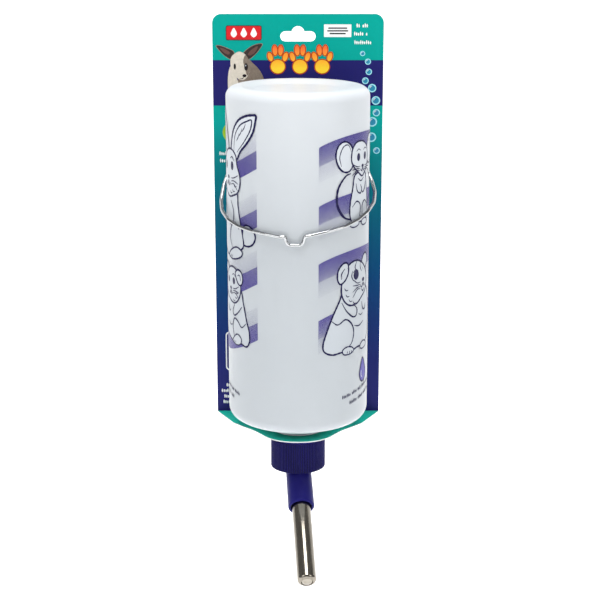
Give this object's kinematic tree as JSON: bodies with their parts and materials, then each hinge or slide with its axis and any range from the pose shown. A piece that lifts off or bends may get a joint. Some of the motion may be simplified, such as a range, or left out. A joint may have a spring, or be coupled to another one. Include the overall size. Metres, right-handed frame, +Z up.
{
  "type": "hanging small animal water bottle",
  "caption": "Inverted plastic water bottle with ribbed screw cap, angled steel ball-valve drinking tube, wire cage hanger and folded hang card.",
  "frame": {"origin": "centre of the bottle neck's rim, on the bottle's axis", "axes": "+Z up along the bottle's axis to its base, +Y back towards the card and the cage, and the tube points to -Y"},
  "size_m": [0.1016, 0.1154, 0.3154],
  "materials": {
    "bottle_plastic": "translucent satin white",
    "cap_plastic": "satin indigo",
    "seal_rubber": "matt black",
    "tube_steel": "polished",
    "ball_steel": "polished",
    "wire_steel": "bright zinc plated",
    "card_board": "coated printed card"
  },
  "bodies": {
    "hanger": {"wire_hanger": "wire_steel"},
    "bottle": {"bottle": "bottle_plastic"},
    "card": {"display_card": "card_board"},
    "cap": {"cap": "cap_plastic", "neck_gasket": "seal_rubber", "tube_seal": "seal_rubber", "drinking_tube": "tube_steel"},
    "lower_ball": {"lower_ball": "ball_steel"},
    "upper_ball": {"upper_ball": "ball_steel"}
  },
  "joints": [
    {"name": "bottle_slide", "type": "slide", "parent": "hanger", "child": "bottle", "axis": [0, 0, 1], "range_m": [-0.03, 0.09]},
    {"name": "cap_travel", "type": "slide", "parent": "bottle", "child": "card", "axis": [0, 0, -1], "range_m": [0, 0.0127]},
    {"name": "cap_turn", "type": "hinge", "parent": "card", "child": "cap", "pos_m": [0, 0, 0], "axis": [0, 0, -1], "range_deg": [0, 1080]},
    {"name": "lower_ball_lift", "type": "slide", "parent": "cap", "child": "lower_ball", "axis": [-0.0621, 0.8458, 0.5299], "range_m": [0, 0.0535]},
    {"name": "upper_ball_lift", "type": "slide", "parent": "cap", "child": "upper_ball", "axis": [-0.0621, 0.8458, 0.5299], "range_m": [0, 0.0535]}
  ],
  "couplings": [
    {"joint": "cap_travel", "follows": "cap_turn", "m_per_rad": 0.00067322},
    {"joint": "upper_ball_lift", "follows": "lower_ball_lift", "ratio": 1}
  ]
}
